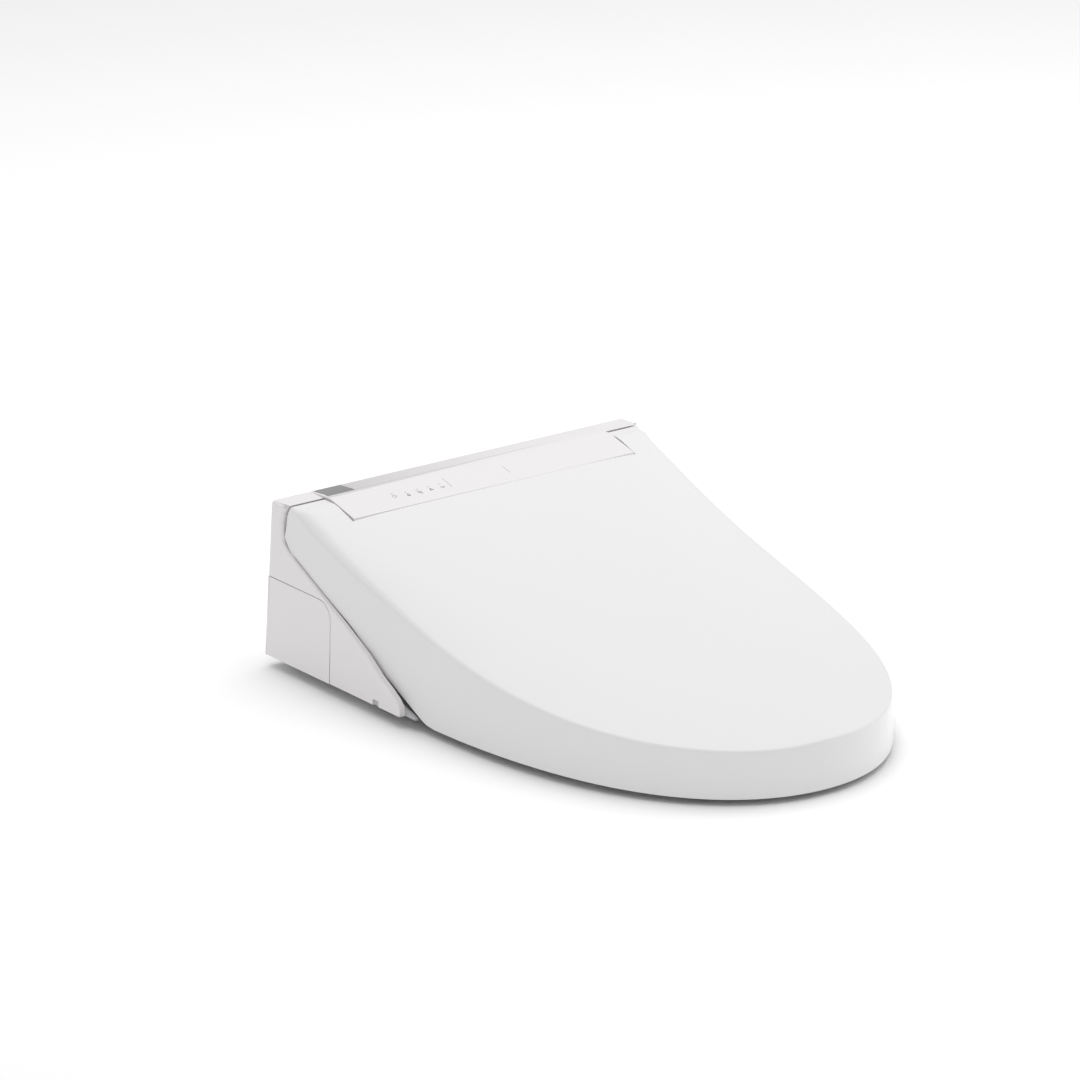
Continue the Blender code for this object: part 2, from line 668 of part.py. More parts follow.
# ---------------------------------------------------------------- the seat

def below_top(drop):
    def height(y):
        return seat_top_z(y) - drop
    return height


def above_under(rise):
    def height(y):
        return seat_under_z(y) + rise
    return height


def inner_edge(y):
    """Lower edge of the opening's wall."""
    return min(seat_under_z(y), seat_top_z(y) - 20.0)


def make_seat():
    white = FINISH["gloss_white"]
    shell_profile = [
        (0.0, True, seat_under_z), (0.6, True, below_top(9.0)), (3.0, True, below_top(3.5)),
        (9.0, True, below_top(0.8)), (22.0, True, below_top(0.0)), (24.0, False, below_top(3.0)),
        (10.0, False, below_top(6.5)), (3.0, False, below_top(10.0)), (0.0, False, below_top(14.0)),
        (0.0, False, inner_edge),
    ]
    shell = surface("seat_shell", ring_rows(shell_profile), white, close_ends=True)
    thicken(shell, SEAT_WALL)
    for side in (-1, 1):
        low, high = sorted((side * ARM_LOW, side * ARM_HIGH))
        boolean(shell, slab(f"arm_{side}", arm_outline(), low, high, white), "UNION")
    for side in (-1, 1):
        boolean(shell, rod(f"arm_bore_{side}", (side * 148, HINGE_Y, HINGE_Z), (side * 172, HINGE_Y, HINGE_Z),
                           PIN_CLEAR, white, segments=20))
    base_profile = [(8.0, True, above_under(1.5)), (6.5, False, above_under(1.5))]
    base = surface("seat_base", ring_rows(base_profile), white, close_ends=True)
    thicken(base, 2.5, 1.0)
    heater_profile = [(20.0, True, below_top(5.8)), (22.0, False, below_top(8.8))]
    heater = surface("seat_heater", ring_rows(heater_profile), FINISH["foil"], close_ends=True)
    thicken(heater, 0.8, 0.0)


def arm_outline():
    """From the seat's rear corner up to a round hub on the hinge."""
    hub = arc((HINGE_Y, HINGE_Z), SEAT_HUB_RADIUS, 118.0, -70.0, 10)
    return [(84.0, 64.0)] + hub + [(190.0, 112.0), (84.0, 52.0)]


def make_seat_bumpers():
    for word, x, y in (("front_left", -85, -205), ("front_right", 85, -205), ("rear_left", -142, 0),
                       ("rear_right", 142, 0)):
        turned(f"seat_bumper_{word}", [(0, 11.6), (8.5, 11.6), (10.0, 9.6), (10.0, 1.6), (8.5, 0), (0, 0)],
               (x, y, 0), (0, 0, 1), FINISH["black_rubber"], steps=20)


# ---------------------------------------------------------------- the lid

def lid_rows():
    """Rows from the skirt's bottom edge over the round to the middle line, for one half of the lid."""
    stations = [250.0, 236.0, 221.0, 205.0, 190.0, 170.0, 145.0, 118.0]
    outline = [(lid_half(y), y) for y in stations]
    for i in range(19):
        turn = math.radians(90.0 * i / 18)
        y = LID_BASE_Y - LID_LENGTH * math.sin(turn) ** (2 / LID_POWER_Y)
        outline.append((lid_half(y), y))
    outline[-1] = (0.0, FRONT_Y)
    rows = []
    for x, y in outline:
        middle_y = y if y > -120.0 else -120.0 + (y + 120.0) * 0.35
        inward = Vector((-x, middle_y - y))
        reach = inward.length
        inward.normalize()
        soft = lid_round(y)
        row = [(x, y, lid_bottom(y))]
        for inset, drop in ((LID_DRAFT, soft), (LID_DRAFT + 0.3 * soft, 0.3 * soft), (LID_DRAFT + soft, 0.0)):
            place = Vector((x, y)) + inward * inset
            row.append((max(0.0, place.x), place.y, lid_top_z(place.x, place.y) - drop))
        for share in (0.12, 0.3, 0.55, 0.8, 1.0):
            inset = LID_DRAFT + soft + (reach - LID_DRAFT - soft) * share
            place = Vector((x, y)) + inward * inset
            height = lid_top_z(place.x, place.y)
            row.append((0.0 if share == 1.0 else place.x, place.y, height))
        rows.append(row)
    return rows


def make_lid():
    white = FINISH["gloss_white"]
    lid = surface("lid_shell", lid_rows(), white)
    mirror_x(lid)
    thicken(lid, LID_WALL)
    outline = lid_side_outline()
    trim = ([(outline[0][0], 190.0), (290.0, 190.0), (290.0, -30.0), (outline[-1][0], -30.0)]
            + outline[::-1])
    boolean(lid, slab("lid_trim", trim, -220.0, 220.0, white))
    reach = arc((HINGE_Y, HINGE_Z), CUTOUT_RADIUS, 140.0, 180.0, 5)
    cutout = reach + [(HINGE_Y, HINGE_Z - 30), (280.0, HINGE_Z - 30), (280.0, 200.0),
                      (HINGE_Y - 20.0, 200.0)]
    boolean(lid, slab("lid_cutout", cutout, -CUTOUT_HALF, CUTOUT_HALF, white))
    top = math.degrees(math.asin((LID_TOP - HINGE_Z) / EAR_RADIUS))
    ear = (arc((HINGE_Y, HINGE_Z), EAR_RADIUS, top - 0.6, -18.0, 7)
           + arc((HINGE_Y, HINGE_Z), EAR_RADIUS - EAR_WALL, -18.0, top + 4.0, 7))
    for side in (-1, 1):
        low, high = sorted((side * (CUTOUT_HALF + 0.4), side * (LID_EAR_HALF - 1.0)))
        boolean(lid, slab(f"ear_{side}", ear, low, high, white), "UNION")
        boolean(lid, rod(f"boss_{side}", (side * 170.5, HINGE_Y, HINGE_Z), (side * 184.9, HINGE_Y, HINGE_Z),
                         7.6, white), "UNION")
        boolean(lid, rod(f"boss_bore_{side}", (side * 165, HINGE_Y, HINGE_Z),
                         (side * 182.2, HINGE_Y, HINGE_Z), PIN_CLEAR, white, segments=20))


def make_lid_bumpers():
    for side, word in ((-1, "left"), (1, "right")):
        x, y = side * 64.0, -218.0
        low = seat_top_z(y) + 0.5
        high = lid_top_z(x, y) - LID_WALL - 1.2
        rod(f"lid_bumper_{word}", (x, y, low), (x, y, high), 6.0, FINISH["black_rubber"], 0.8, segments=16)


FINISHES = {
    "gloss_white": ((0.86, 0.85, 0.85), 0.18, 0.0),
    "satin_white": ((0.84, 0.84, 0.83), 0.32, 0.0),
    "white_abs": ((0.78, 0.78, 0.77), 0.45, 0.0),
    "grey_abs": ((0.42, 0.42, 0.43), 0.5, 0.0),
    "black_plastic": ((0.04, 0.04, 0.04), 0.45, 0.0),
    "black_rubber": ((0.1, 0.1, 0.1), 0.8, 0.0),
    "smoked_window": ((0.29, 0.29, 0.29), 0.15, 0.0),
    "steel": ((0.6, 0.6, 0.61), 0.32, 1.0),
    "steel_plate": ((0.55, 0.55, 0.56), 0.4, 1.0),
    "chrome": ((0.75, 0.75, 0.76), 0.1, 1.0),
    "foil": ((0.7, 0.7, 0.71), 0.3, 1.0),
    "board_green": ((0.05, 0.2, 0.1), 0.5, 0.0),
}

clear_scene()
PARTS = collection("electric_bidet_seat")
CUTTERS = collection("cutters")
FINISH = {name: material(name, *values) for name, values in FINISHES.items()}

make_base_plate()
make_lower_case()
make_upper_case()
make_side_covers()
make_top_inlays()
make_wand()
make_water_parts()
make_air_parts()
make_air_flap()
make_electronics()
make_hinge_parts()
make_release_button()
make_seat()
make_seat_bumpers()
make_lid()
make_lid_bumpers()
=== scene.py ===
# Electric bidet seat: a slim white unit, a heated seat and a sloping one-piece lid.
# Sizes in the dictionaries are millimetres; mm() turns them into metres.
import math

import bmesh
import bpy
from mathutils import Matrix, Vector


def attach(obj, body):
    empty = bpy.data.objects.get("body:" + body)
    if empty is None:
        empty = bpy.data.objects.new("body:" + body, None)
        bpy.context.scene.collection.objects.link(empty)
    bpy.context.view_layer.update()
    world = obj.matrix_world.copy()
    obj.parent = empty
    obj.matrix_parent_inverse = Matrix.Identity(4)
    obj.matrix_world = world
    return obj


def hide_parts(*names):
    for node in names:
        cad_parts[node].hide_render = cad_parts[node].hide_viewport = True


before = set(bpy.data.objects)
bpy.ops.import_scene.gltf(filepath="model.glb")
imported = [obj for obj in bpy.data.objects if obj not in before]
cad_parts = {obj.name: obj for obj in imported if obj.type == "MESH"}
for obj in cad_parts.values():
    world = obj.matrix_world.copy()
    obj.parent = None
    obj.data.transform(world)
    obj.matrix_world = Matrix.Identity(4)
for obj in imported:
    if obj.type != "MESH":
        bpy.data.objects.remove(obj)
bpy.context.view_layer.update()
scene = bpy.context.scene
print("frame loaded:", len(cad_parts), "nodes")


def mm(value):
    return value * 0.001


# sRGB hex to the linear colour that shaders use.
def hexColor(code):
    channels = [int(code[i:i + 2], 16) / 255 for i in (1, 3, 5)]
    return tuple(c / 12.92 if c <= 0.04045 else ((c + 0.055) / 1.055) ** 2.4 for c in channels) + (1.0,)


view = {
    "azimuth": -37.07, "elevation": 19.0, "distance": 5.5182, "lens": 221.95,
    "target": (-0.0973, 0.0, 0.1662),
}


def placeCamera():
    a, e = math.radians(view["azimuth"]), math.radians(view["elevation"])
    back = Vector((math.sin(a) * math.cos(e), -math.cos(a) * math.cos(e), math.sin(e)))
    data = bpy.data.cameras.new("camera")
    data.lens = view["lens"]
    data.sensor_width = 36.0
    data.clip_start, data.clip_end = 0.1, 60.0
    camera = bpy.data.objects.new("camera", data)
    camera.location = Vector(view["target"]) + back * view["distance"]
    camera.rotation_euler = (-back).to_track_quat("-Z", "Y").to_euler()
    scene.collection.objects.link(camera)
    scene.camera = camera


# One node, with its settings, and its inputs as values or as sockets to link from.
def addNode(tree, kind, inputs=None, **settings):
    node = tree.nodes.new(kind)
    for name, value in settings.items():
        setattr(node, name, value)
    for name, value in (inputs or {}).items():
        if isinstance(value, bpy.types.NodeSocket):
            tree.links.new(value, node.inputs[name])
        else:
            node.inputs[name].default_value = value
    return node


studio = {
    "sky": "#ffffff", "skyPower": 0.63, "floor": "#fefefe",
    "key": {"place": (0.3, 0.4, 2.6), "size": 3.0, "power": 44.5},
    "fill": {"place": (2.6, -0.5, 1.0), "size": 1.6, "power": 15.0},
}


# a bright white room, one wide lamp overhead and a weak one at the right
def lightStudio():
    world = bpy.data.worlds.new("studio")
    world.use_nodes = True
    world.node_tree.nodes["Background"].inputs["Color"].default_value = hexColor(studio["sky"])
    world.node_tree.nodes["Background"].inputs["Strength"].default_value = studio["skyPower"]
    scene.world = world
    for name in ("key", "fill"):
        lamp = bpy.data.lights.new(name, "AREA")
        lamp.energy = studio[name]["power"]
        lamp.size = studio[name]["size"]
        holder = bpy.data.objects.new(name, lamp)
        holder.location = studio[name]["place"]
        holder.rotation_euler = (-holder.location).to_track_quat("-Z", "Y").to_euler()
        holder.visible_glossy = False  # keeps the lamps' square shapes out of the polished lid
        scene.collection.objects.link(holder)


def layFloor():
    bm = bmesh.new()
    bmesh.ops.create_grid(bm, x_segments=1, y_segments=1, size=9.0)
    mesh = bpy.data.meshes.new("floor")
    bm.to_mesh(mesh)
    bm.free()
    floor = bpy.data.objects.new("floor", mesh)
    floor.location.z = -0.0004
    scene.collection.objects.link(floor)
    paint = bpy.data.materials.new("paleStudioFloor")
    paint.use_nodes = True
    shader = paint.node_tree.nodes["Principled BSDF"]
    shader.inputs["Base Color"].default_value = hexColor(studio["floor"])
    shader.inputs["Roughness"].default_value = 0.9
    mesh.materials.append(paint)
    print("camera, lamps and floor placed")


# Injection-moulded plastic. grain is the mould texture's pitch in mm, depth its height in mm.
# Slow waves in the surface, a few centimetres long, bend reflections as real moulded shells do.
def plastic(name, color, roughness, grain=0.9, depth=0.02, tint=0.012, coat=0.0, ior=1.5):
    made = bpy.data.materials.new(name)
    made.use_nodes = True
    tree = made.node_tree
    shader = tree.nodes["Principled BSDF"]
    place = addNode(tree, "ShaderNodeTexCoord").outputs["Object"]
    fine = addNode(tree, "ShaderNodeTexNoise", {"Vector": place, "Scale": 1000.0 / grain, "Detail": 3.0,
                                                "Roughness": 0.55})
    slow = addNode(tree, "ShaderNodeTexNoise", {"Vector": place, "Scale": 1000.0 / 45.0, "Detail": 2.0})
    base = hexColor(color)
    darker = tuple(c * (1.0 - tint * 2.5) for c in base[:3]) + (1.0,)
    shade = addNode(tree, "ShaderNodeMix", {"Factor": slow.outputs["Fac"]}, data_type="RGBA")
    shade.inputs[6].default_value = darker
    shade.inputs[7].default_value = base
    rough = addNode(tree, "ShaderNodeMapRange", {"Value": fine.outputs["Fac"], "To Min": roughness * 0.85,
                                                 "To Max": min(1.0, roughness * 1.2)})
    low = addNode(tree, "ShaderNodeBump", {"Height": slow.outputs["Fac"], "Strength": 0.12,
                                           "Distance": mm(0.12)})
    bump = addNode(tree, "ShaderNodeBump", {"Height": fine.outputs["Fac"], "Strength": 0.5,
                                            "Distance": mm(depth), "Normal": low.outputs["Normal"]})
    tree.links.new(shade.outputs[2], shader.inputs["Base Color"])
    tree.links.new(rough.outputs["Result"], shader.inputs["Roughness"])
    tree.links.new(bump.outputs["Normal"], shader.inputs["Normal"])
    shader.inputs["IOR"].default_value = ior
    shader.inputs["Coat Weight"].default_value = coat
    shader.inputs["Coat Roughness"].default_value = 0.06
    return made


# Bare metal. brushed stretches the grain along X for drawn or pressed sheet.
def metal(name, color, roughness, brushed=0.0, pitch=0.6):
    made = bpy.data.materials.new(name)
    made.use_nodes = True
    tree = made.node_tree
    shader = tree.nodes["Principled BSDF"]
    place = addNode(tree, "ShaderNodeTexCoord").outputs["Object"]
    squeeze = addNode(tree, "ShaderNodeMapping", {"Vector": place, "Scale": (1.0 - 0.95 * brushed, 1.0, 1.0)})
    grain = addNode(tree, "ShaderNodeTexNoise", {"Vector": squeeze.outputs["Vector"],
                                                 "Scale": 1000.0 / pitch, "Detail": 4.0})
    rough = addNode(tree, "ShaderNodeMapRange", {"Value": grain.outputs["Fac"], "To Min": roughness * 0.7,
                                                 "To Max": roughness * 1.4})
    bump = addNode(tree, "ShaderNodeBump", {"Height": grain.outputs["Fac"], "Strength": 0.25,
                                            "Distance": mm(0.02)})
    shader.inputs["Base Color"].default_value = hexColor(color)
    shader.inputs["Metallic"].default_value = 1.0
    tree.links.new(rough.outputs["Result"], shader.inputs["Roughness"])
    tree.links.new(bump.outputs["Normal"], shader.inputs["Normal"])
    return made


# Glass-fibre board: green solder mask over faint copper tracks on a 2.5 mm grid.
def circuitBoard():
    made = plastic("greenSolderMask", "#1f6b3c", 0.35, grain=0.5)
    tree = made.node_tree
    place = addNode(tree, "ShaderNodeTexCoord").outputs["Object"]
    tracks = addNode(tree, "ShaderNodeTexBrick", {
        "Vector": place, "Scale": 1000.0 / 5.0, "Color1": hexColor("#1f6b3c"), "Color2": hexColor("#1a5c33"),
        "Mortar": hexColor("#3c8f57"), "Mortar Size": 0.06})
    tree.links.new(tracks.outputs["Color"], tree.nodes["Principled BSDF"].inputs["Base Color"])
    return made


finish = {
    # moulded in a polished tool: a soft clear reflection over a bright, nearly neutral body
    "glossWhite": plastic("polishedWhiteAbs", "#e6e5e5", 0.19, grain=1.1, depth=0.004, tint=0.004, coat=0.25),
    "caseWhite": plastic("polishedWarmWhiteAbs", "#e6e3e4", 0.24, grain=1.1, depth=0.004, tint=0.004,
                         coat=0.2),
    # moulded without polish: a broad pale sheen on the parts that are hidden or get wet
    "satinWhite": plastic("satinWhitePp", "#ececea", 0.36, grain=0.8, depth=0.01),
    "matWhite": plastic("matWhiteAbs", "#e2e2e0", 0.5),
    # spark-eroded tool texture: dull, with a fine grain that catches side light
    "greyAbs": plastic("mouldedGreyAbs", "#b5b6b8", 0.48, grain=0.7, depth=0.03),
    "blackAbs": plastic("mouldedBlackAbs", "#1d1d1e", 0.5, grain=0.7, depth=0.03),
    "rubber": plastic("softGreyRubber", "#55565a", 0.75, grain=0.5, depth=0.03, ior=1.52),
    # tinted clear plate over a sensor: dark grey, with a sharp reflection of the room
    "smoked": plastic("tintedPolycarbonate", "#6c6c6d", 0.12, grain=1.5, depth=0.002, coat=0.5, ior=1.58),
    # pad-printed ink: flat and slightly duller than the plastic under it
    "printGrey": plastic("printedGreyInk", "#9b9c9e", 0.55, grain=0.4, depth=0.002),
    # turned, plated, polished and rolled metal, from satin grey to a near mirror
    "steel": metal("turnedSteel", "#b8b9bb", 0.3),
    "zinc": metal("zincPlatedSteel", "#b2b4b8", 0.42, brushed=0.6),
    "chrome": metal("polishedChrome", "#d8d9dc", 0.07),
    "foil": metal("aluminiumFoil", "#cfd0d2", 0.28, brushed=0.4, pitch=2.0),
    "board": circuitBoard(),
}


# Makes a mesh a piece of the object: its finish and its body.
def finished(name, mesh, look, body, smooth=35.0):
    mesh.materials.clear()
    mesh.materials.append(finish[look])
    mesh.shade_smooth()
    mesh.set_sharp_from_angle(angle=math.radians(smooth))
    piece = bpy.data.objects.new(name, mesh)
    scene.collection.objects.link(piece)
    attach(piece, body)
    return piece


# A sheet through rows of points in mm. Neighbouring rows may skip points with None.
def gridMesh(name, rows, mirrored=False, closed=False):
    bm = bmesh.new()
    grid = [[None if p is None else bm.verts.new([mm(v) for v in p]) for p in row] for row in rows]
    pairs = list(zip(grid, grid[1:])) + ([(grid[-1], grid[0])] if closed else [])
    for one, two in pairs:
        for i in range(min(len(one), len(two)) - 1):
            corners = [one[i], one[i + 1], two[i + 1], two[i]]
            if None not in corners:
                bm.faces.new(corners)
    if mirrored:
        twin = bmesh.ops.duplicate(bm, geom=bm.verts[:] + bm.edges[:] + bm.faces[:])
        moved = [v for v in twin["geom"] if isinstance(v, bmesh.types.BMVert)]
        bmesh.ops.scale(bm, vec=(-1, 1, 1), verts=moved)
    bmesh.ops.remove_doubles(bm, verts=bm.verts, dist=mm(0.02))
    bmesh.ops.dissolve_degenerate(bm, edges=bm.edges, dist=mm(0.005))
    bmesh.ops.recalc_face_normals(bm, faces=bm.faces)
    if sum((f.normal.z * f.calc_area() for f in bm.faces), 0.0) < 0:
        bmesh.ops.reverse_faces(bm, faces=bm.faces)
    mesh = bpy.data.meshes.new(name)
    bm.to_mesh(mesh)
    bm.free()
    return mesh


def addWall(piece, thickness, edge=0.6, angle=50.0):
    wall = piece.modifiers.new("wall", "SOLIDIFY")
    wall.thickness = mm(thickness)
    wall.offset = -1.0
    rim = piece.modifiers.new("rim", "BEVEL")
    rim.width = mm(edge)
    rim.segments = 2
    rim.limit_method = "ANGLE"
    rim.angle_limit = math.radians(angle)
    rim.harden_normals = True


# A CAD node's own solid with its edges rounded, as the mould leaves them.
# edgeWidth, if given, is a function of an edge's two ends in mm that returns its own width.
def softened(nodeName, look, body, width=0.8, segments=3, edgeWidth=None, cutters=()):
    bm = bmesh.new()
    bm.from_mesh(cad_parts[nodeName].data)
    bmesh.ops.remove_doubles(bm, verts=bm.verts, dist=mm(0.005))
    bmesh.ops.dissolve_limit(bm, angle_limit=math.radians(0.6), verts=bm.verts, edges=bm.edges)
    if edgeWidth:
        weight = bm.edges.layers.float.new("bevel_weight_edge")
        for edge in bm.edges:
            if len(edge.link_faces) == 2 and edge.calc_face_angle() > math.radians(28.0):
                a, b = (v.co * 1000.0 for v in edge.verts)
                edge[weight] = min(1.0, edgeWidth(a, b) / width)
    mesh = bpy.data.meshes.new(nodeName + "_moulding")
    bm.to_mesh(mesh)
    bm.free()
    piece = finished(nodeName + "_moulding", mesh, look, body)
    for number, cutter in enumerate(cutters):
        cut = piece.modifiers.new(f"cut{number}", "BOOLEAN")
        cut.object = cutter
        cut.solver = "EXACT"
    rim = piece.modifiers.new("rim", "BEVEL")
    rim.width = mm(width)
    rim.segments = segments
    rim.limit_method = "WEIGHT" if edgeWidth else "ANGLE"
    rim.angle_limit = math.radians(28.0)
    rim.harden_normals = True
    rim.use_clamp_overlap = edgeWidth is None
    if cutters:
        shaped = piece.evaluated_get(bpy.context.evaluated_depsgraph_get())
        piece.data = bpy.data.meshes.new_from_object(shaped)
        piece.modifiers.clear()
        for cutter in cutters:
            bpy.data.objects.remove(cutter)
    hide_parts(nodeName)
    return piece


hinge = {"y": 218.5, "z": 134.0}
lid = {
    "half": 183.8, "earHalf": 187.6, "spread": (60.0, 200.0), "baseY": 89.6, "frontY": -265.0,
    "powerX": 2.049, "powerY": 2.659, "bottom": 5.3, "bottomRise": 2.2, "draft": 1.0, "wall": 2.8,
    "top": 150.3, "earRadius": 22.5, "earSoft": 3.0, "stripY": 191.4, "stripZ": 143.4,
    "cutY": 190.8, "cutHalf": 151.5,
    # the crease's height as a cubic of the distance behind creaseY, in units of 100 mm
    "creaseY": 265.0, "crease": (172.7, 53.07, 6.945, 0.272),
    "noseTop": 48.3, "riseAtStrip": -0.30, "riseAtNose": -0.06, "ridgeEndY": -120.0,
    "skirtRows": 7, "roundRows": 8, "frontStations": 64,
}


# the lower edge of the lid's side, just over the wing and then behind it, as (y, z)
lidSide = [(33.0, 7.5), (44.0, 9.0), (50.0, 11.4), (100.0, 36.3), (114.0, 43.2), (132.0, 57.8),
           (140.0, 63.6), (149.5, 69.5), (227.7, 108.4)]


# Eases from 0 to 1.
def smooth(share):
    share = min(1.0, max(0.0, share))
    return share * share * (3.0 - 2.0 * share)


# Half width of the lid's skirt.
def lidHalf(y):
    start, end = lid["spread"]
    wider = (lid["earHalf"] - lid["half"]) * smooth((y - start) / (end - start))
    along = min(1.0, max(0.0, lid["baseY"] - y) / (lid["baseY"] - lid["frontY"]))
    return lid["half"] * (1.0 - along ** lid["powerY"]) ** (1.0 / lid["powerX"]) + wider


# Height of the crease between top and skirt.
def lidEdge(y):
    back = (y - lid["creaseY"]) / 100.0
    c0, c1, c2, c3 = lid["crease"]
    return c0 + c1 * back + c2 * back ** 2 + c3 * back ** 3


# Height along the middle line, from the strip to the front edge.
def lidMiddle(y):
    span = lid["stripY"] - lid["frontY"]
    t = (lid["stripY"] - y) / span
    rise, fall = lid["riseAtStrip"] * span, lid["riseAtNose"] * span
    if t < 0:
        return lid["stripZ"] + rise * t
    return ((2 * t ** 3 - 3 * t ** 2 + 1) * lid["stripZ"] + (t ** 3 - 2 * t ** 2 + t) * rise
            + (-2 * t ** 3 + 3 * t ** 2) * lid["noseTop"] + (t ** 3 - t ** 2) * fall)


def lidTop(x, y):
    edge = min(lidEdge(y), lid["top"] - 1.5)
    crown = max(0.0, min(lidMiddle(y), lid["top"]) - edge)
    share = max(0.0, (y - lid["frontY"]) / (hinge["y"] - lid["frontY"]))
    power = 1.95 + 5.0 * share ** 2
    across = min(1.0, abs(x) / max(lidHalf(y), 1.0))
    return edge + crown * (1.0 - across ** power)


# Radius between top and skirt: tight in front, wide on the flanks, tighter again over the ears.
def lidRound(y):
    share = max(0.0, (y - lid["frontY"]) / (hinge["y"] - lid["frontY"]))
    wide = 2.5 + 9.0 * share ** 4
    return wide + (4.0 - wide) * smooth((y - 205.0) / 25.0)


# Lower edge of the skirt: nearly level in front, climbing over the wing to the ears.
def lidBottom(y):
    if y <= lidSide[0][0]:
        return lid["bottom"] + lid["bottomRise"] * smooth((y - lid["frontY"]) / 200.0)
    for (y0, z0), (y1, z1) in zip(lidSide, lidSide[1:]):
        if y <= y1:
            return z0 + (z1 - z0) * (y - y0) / (y1 - y0)
    return lidSide[-1][1]


# how far each row lies from the round to the middle line; the first ones reach the cut-out
earShares = (0.03, 0.065, 0.101)
topShares = earShares + (0.15, 0.21, 0.28, 0.36, 0.45, 0.55, 0.66, 0.78, 0.9, 1.0)


# Points from the skirt's lower edge up and over to the middle line, or to the cut-out.
def lidStation(outX, outY, cut):
    ridge = lid["ridgeEndY"]
    middleY = outY if outY > ridge else ridge + (outY - ridge) * 0.35
    inward = Vector((-outX, middleY - outY))
    reach = inward.length
    inward.normalize()
    soft = lidRound(outY)
    place = Vector((outX, outY))
    shoulder = place + inward * lid["draft"]
    low, high = lidBottom(outY), lidTop(shoulder.x, shoulder.y) - soft
    points = []
    for i in range(lid["skirtRows"]):
        t = i / lid["skirtRows"]
        spot = place + inward * lid["draft"] * t
        points.append((spot.x, spot.y, low + (high - low) * t))
    for i in range(lid["roundRows"]):
        turn = math.radians(90.0 * i / (lid["roundRows"] - 1))
        spot = place + inward * (lid["draft"] + soft * (1.0 - math.cos(turn)))
        points.append((spot.x, spot.y, lidTop(spot.x, spot.y) - soft * (1.0 - math.sin(turn))))
    start = lid["draft"] + soft
    for share in topShares:
        if cut:
            if share > earShares[-1]:
                points.append(None)
                continue
            across = (outX - start) + (lid["cutHalf"] - (outX - start)) * share / earShares[-1]
            points.append((across, outY, lidTop(across, outY)))
            continue
        spot = place + inward * (start + (reach - start) * share)
        x = 0.0 if share == 1.0 else max(0.0, spot.x)
        points.append((x, spot.y, lidTop(x, spot.y)))
    return points


# Lower edge of the ear, curling up behind the end of the lid's side.
def earLow(y):
    endY, endZ = lidSide[-1]
    return lidBottom(y) if y < endY else endZ + 13.5 * ((y - endY) / 13.3) ** 1.8


# A station on the ear's rear round: (y, z) on its outline, with the outline's inward normal.
def earStation(y, z, normalY, normalZ):
    outX, soft = lid["earHalf"], lid["earSoft"]
    points = []
    shoulderY, shoulderZ = y + normalY * soft, z + normalZ * soft
    low = earLow(y)
    for i in range(lid["skirtRows"]):
        t = i / lid["skirtRows"]
        spot = (outX - lid["draft"] * t, y + (shoulderY - y) * t, low + (shoulderZ - low) * t)
        points.append(spot)
    for i in range(lid["roundRows"]):
        turn = math.radians(90.0 * i / (lid["roundRows"] - 1))
        drop = soft * (1.0 - math.sin(turn))
        spot = (outX - lid["draft"] - soft * (1.0 - math.cos(turn)), y + normalY * drop, z + normalZ * drop)
        points.append(spot)
    start = lid["draft"] + soft
    for share in topShares:
        if share > earShares[-1]:
            points.append(None)
        else:
            across = (outX - start) + (lid["cutHalf"] - (outX - start)) * share / earShares[-1]
            points.append((across, y, z))
    return points


# Stations below the ear's round, where it turns from its rear into its lower edge.
def earCorner():
    rearY, soft = hinge["y"] + lid["earRadius"], lid["earSoft"]
    low = earLow(rearY)
    stations = []
    for k in range(lid["skirtRows"]):
        share = k / lid["skirtRows"]
        z = low + (hinge["z"] - low) * share
        backY = hinge["y"] + math.sqrt(lid["earRadius"] ** 2 - (hinge["z"] - z) ** 2)
        sideX, sideY = lid["earHalf"] - lid["draft"] * share, rearY - soft * share
        endX = lid["earHalf"] - lid["draft"] - soft
        points = [None] * lid["skirtRows"]
        for i in range(lid["roundRows"]):
            turn = math.radians(90.0 * i / (lid["roundRows"] - 1))
            late, early = 1.0 - math.cos(turn), math.sin(turn)
            points.append((sideX + (endX - sideX) * (early + (late - early) * share),
                           sideY + (backY - sideY) * (late + (early - late) * share), z))
        for across in topShares:
            inner = endX + (lid["cutHalf"] - endX) * across / earShares[-1]
            points.append((inner, backY, z) if across <= earShares[-1] and k > 2 else None)
        stations.append(points)
    return stations


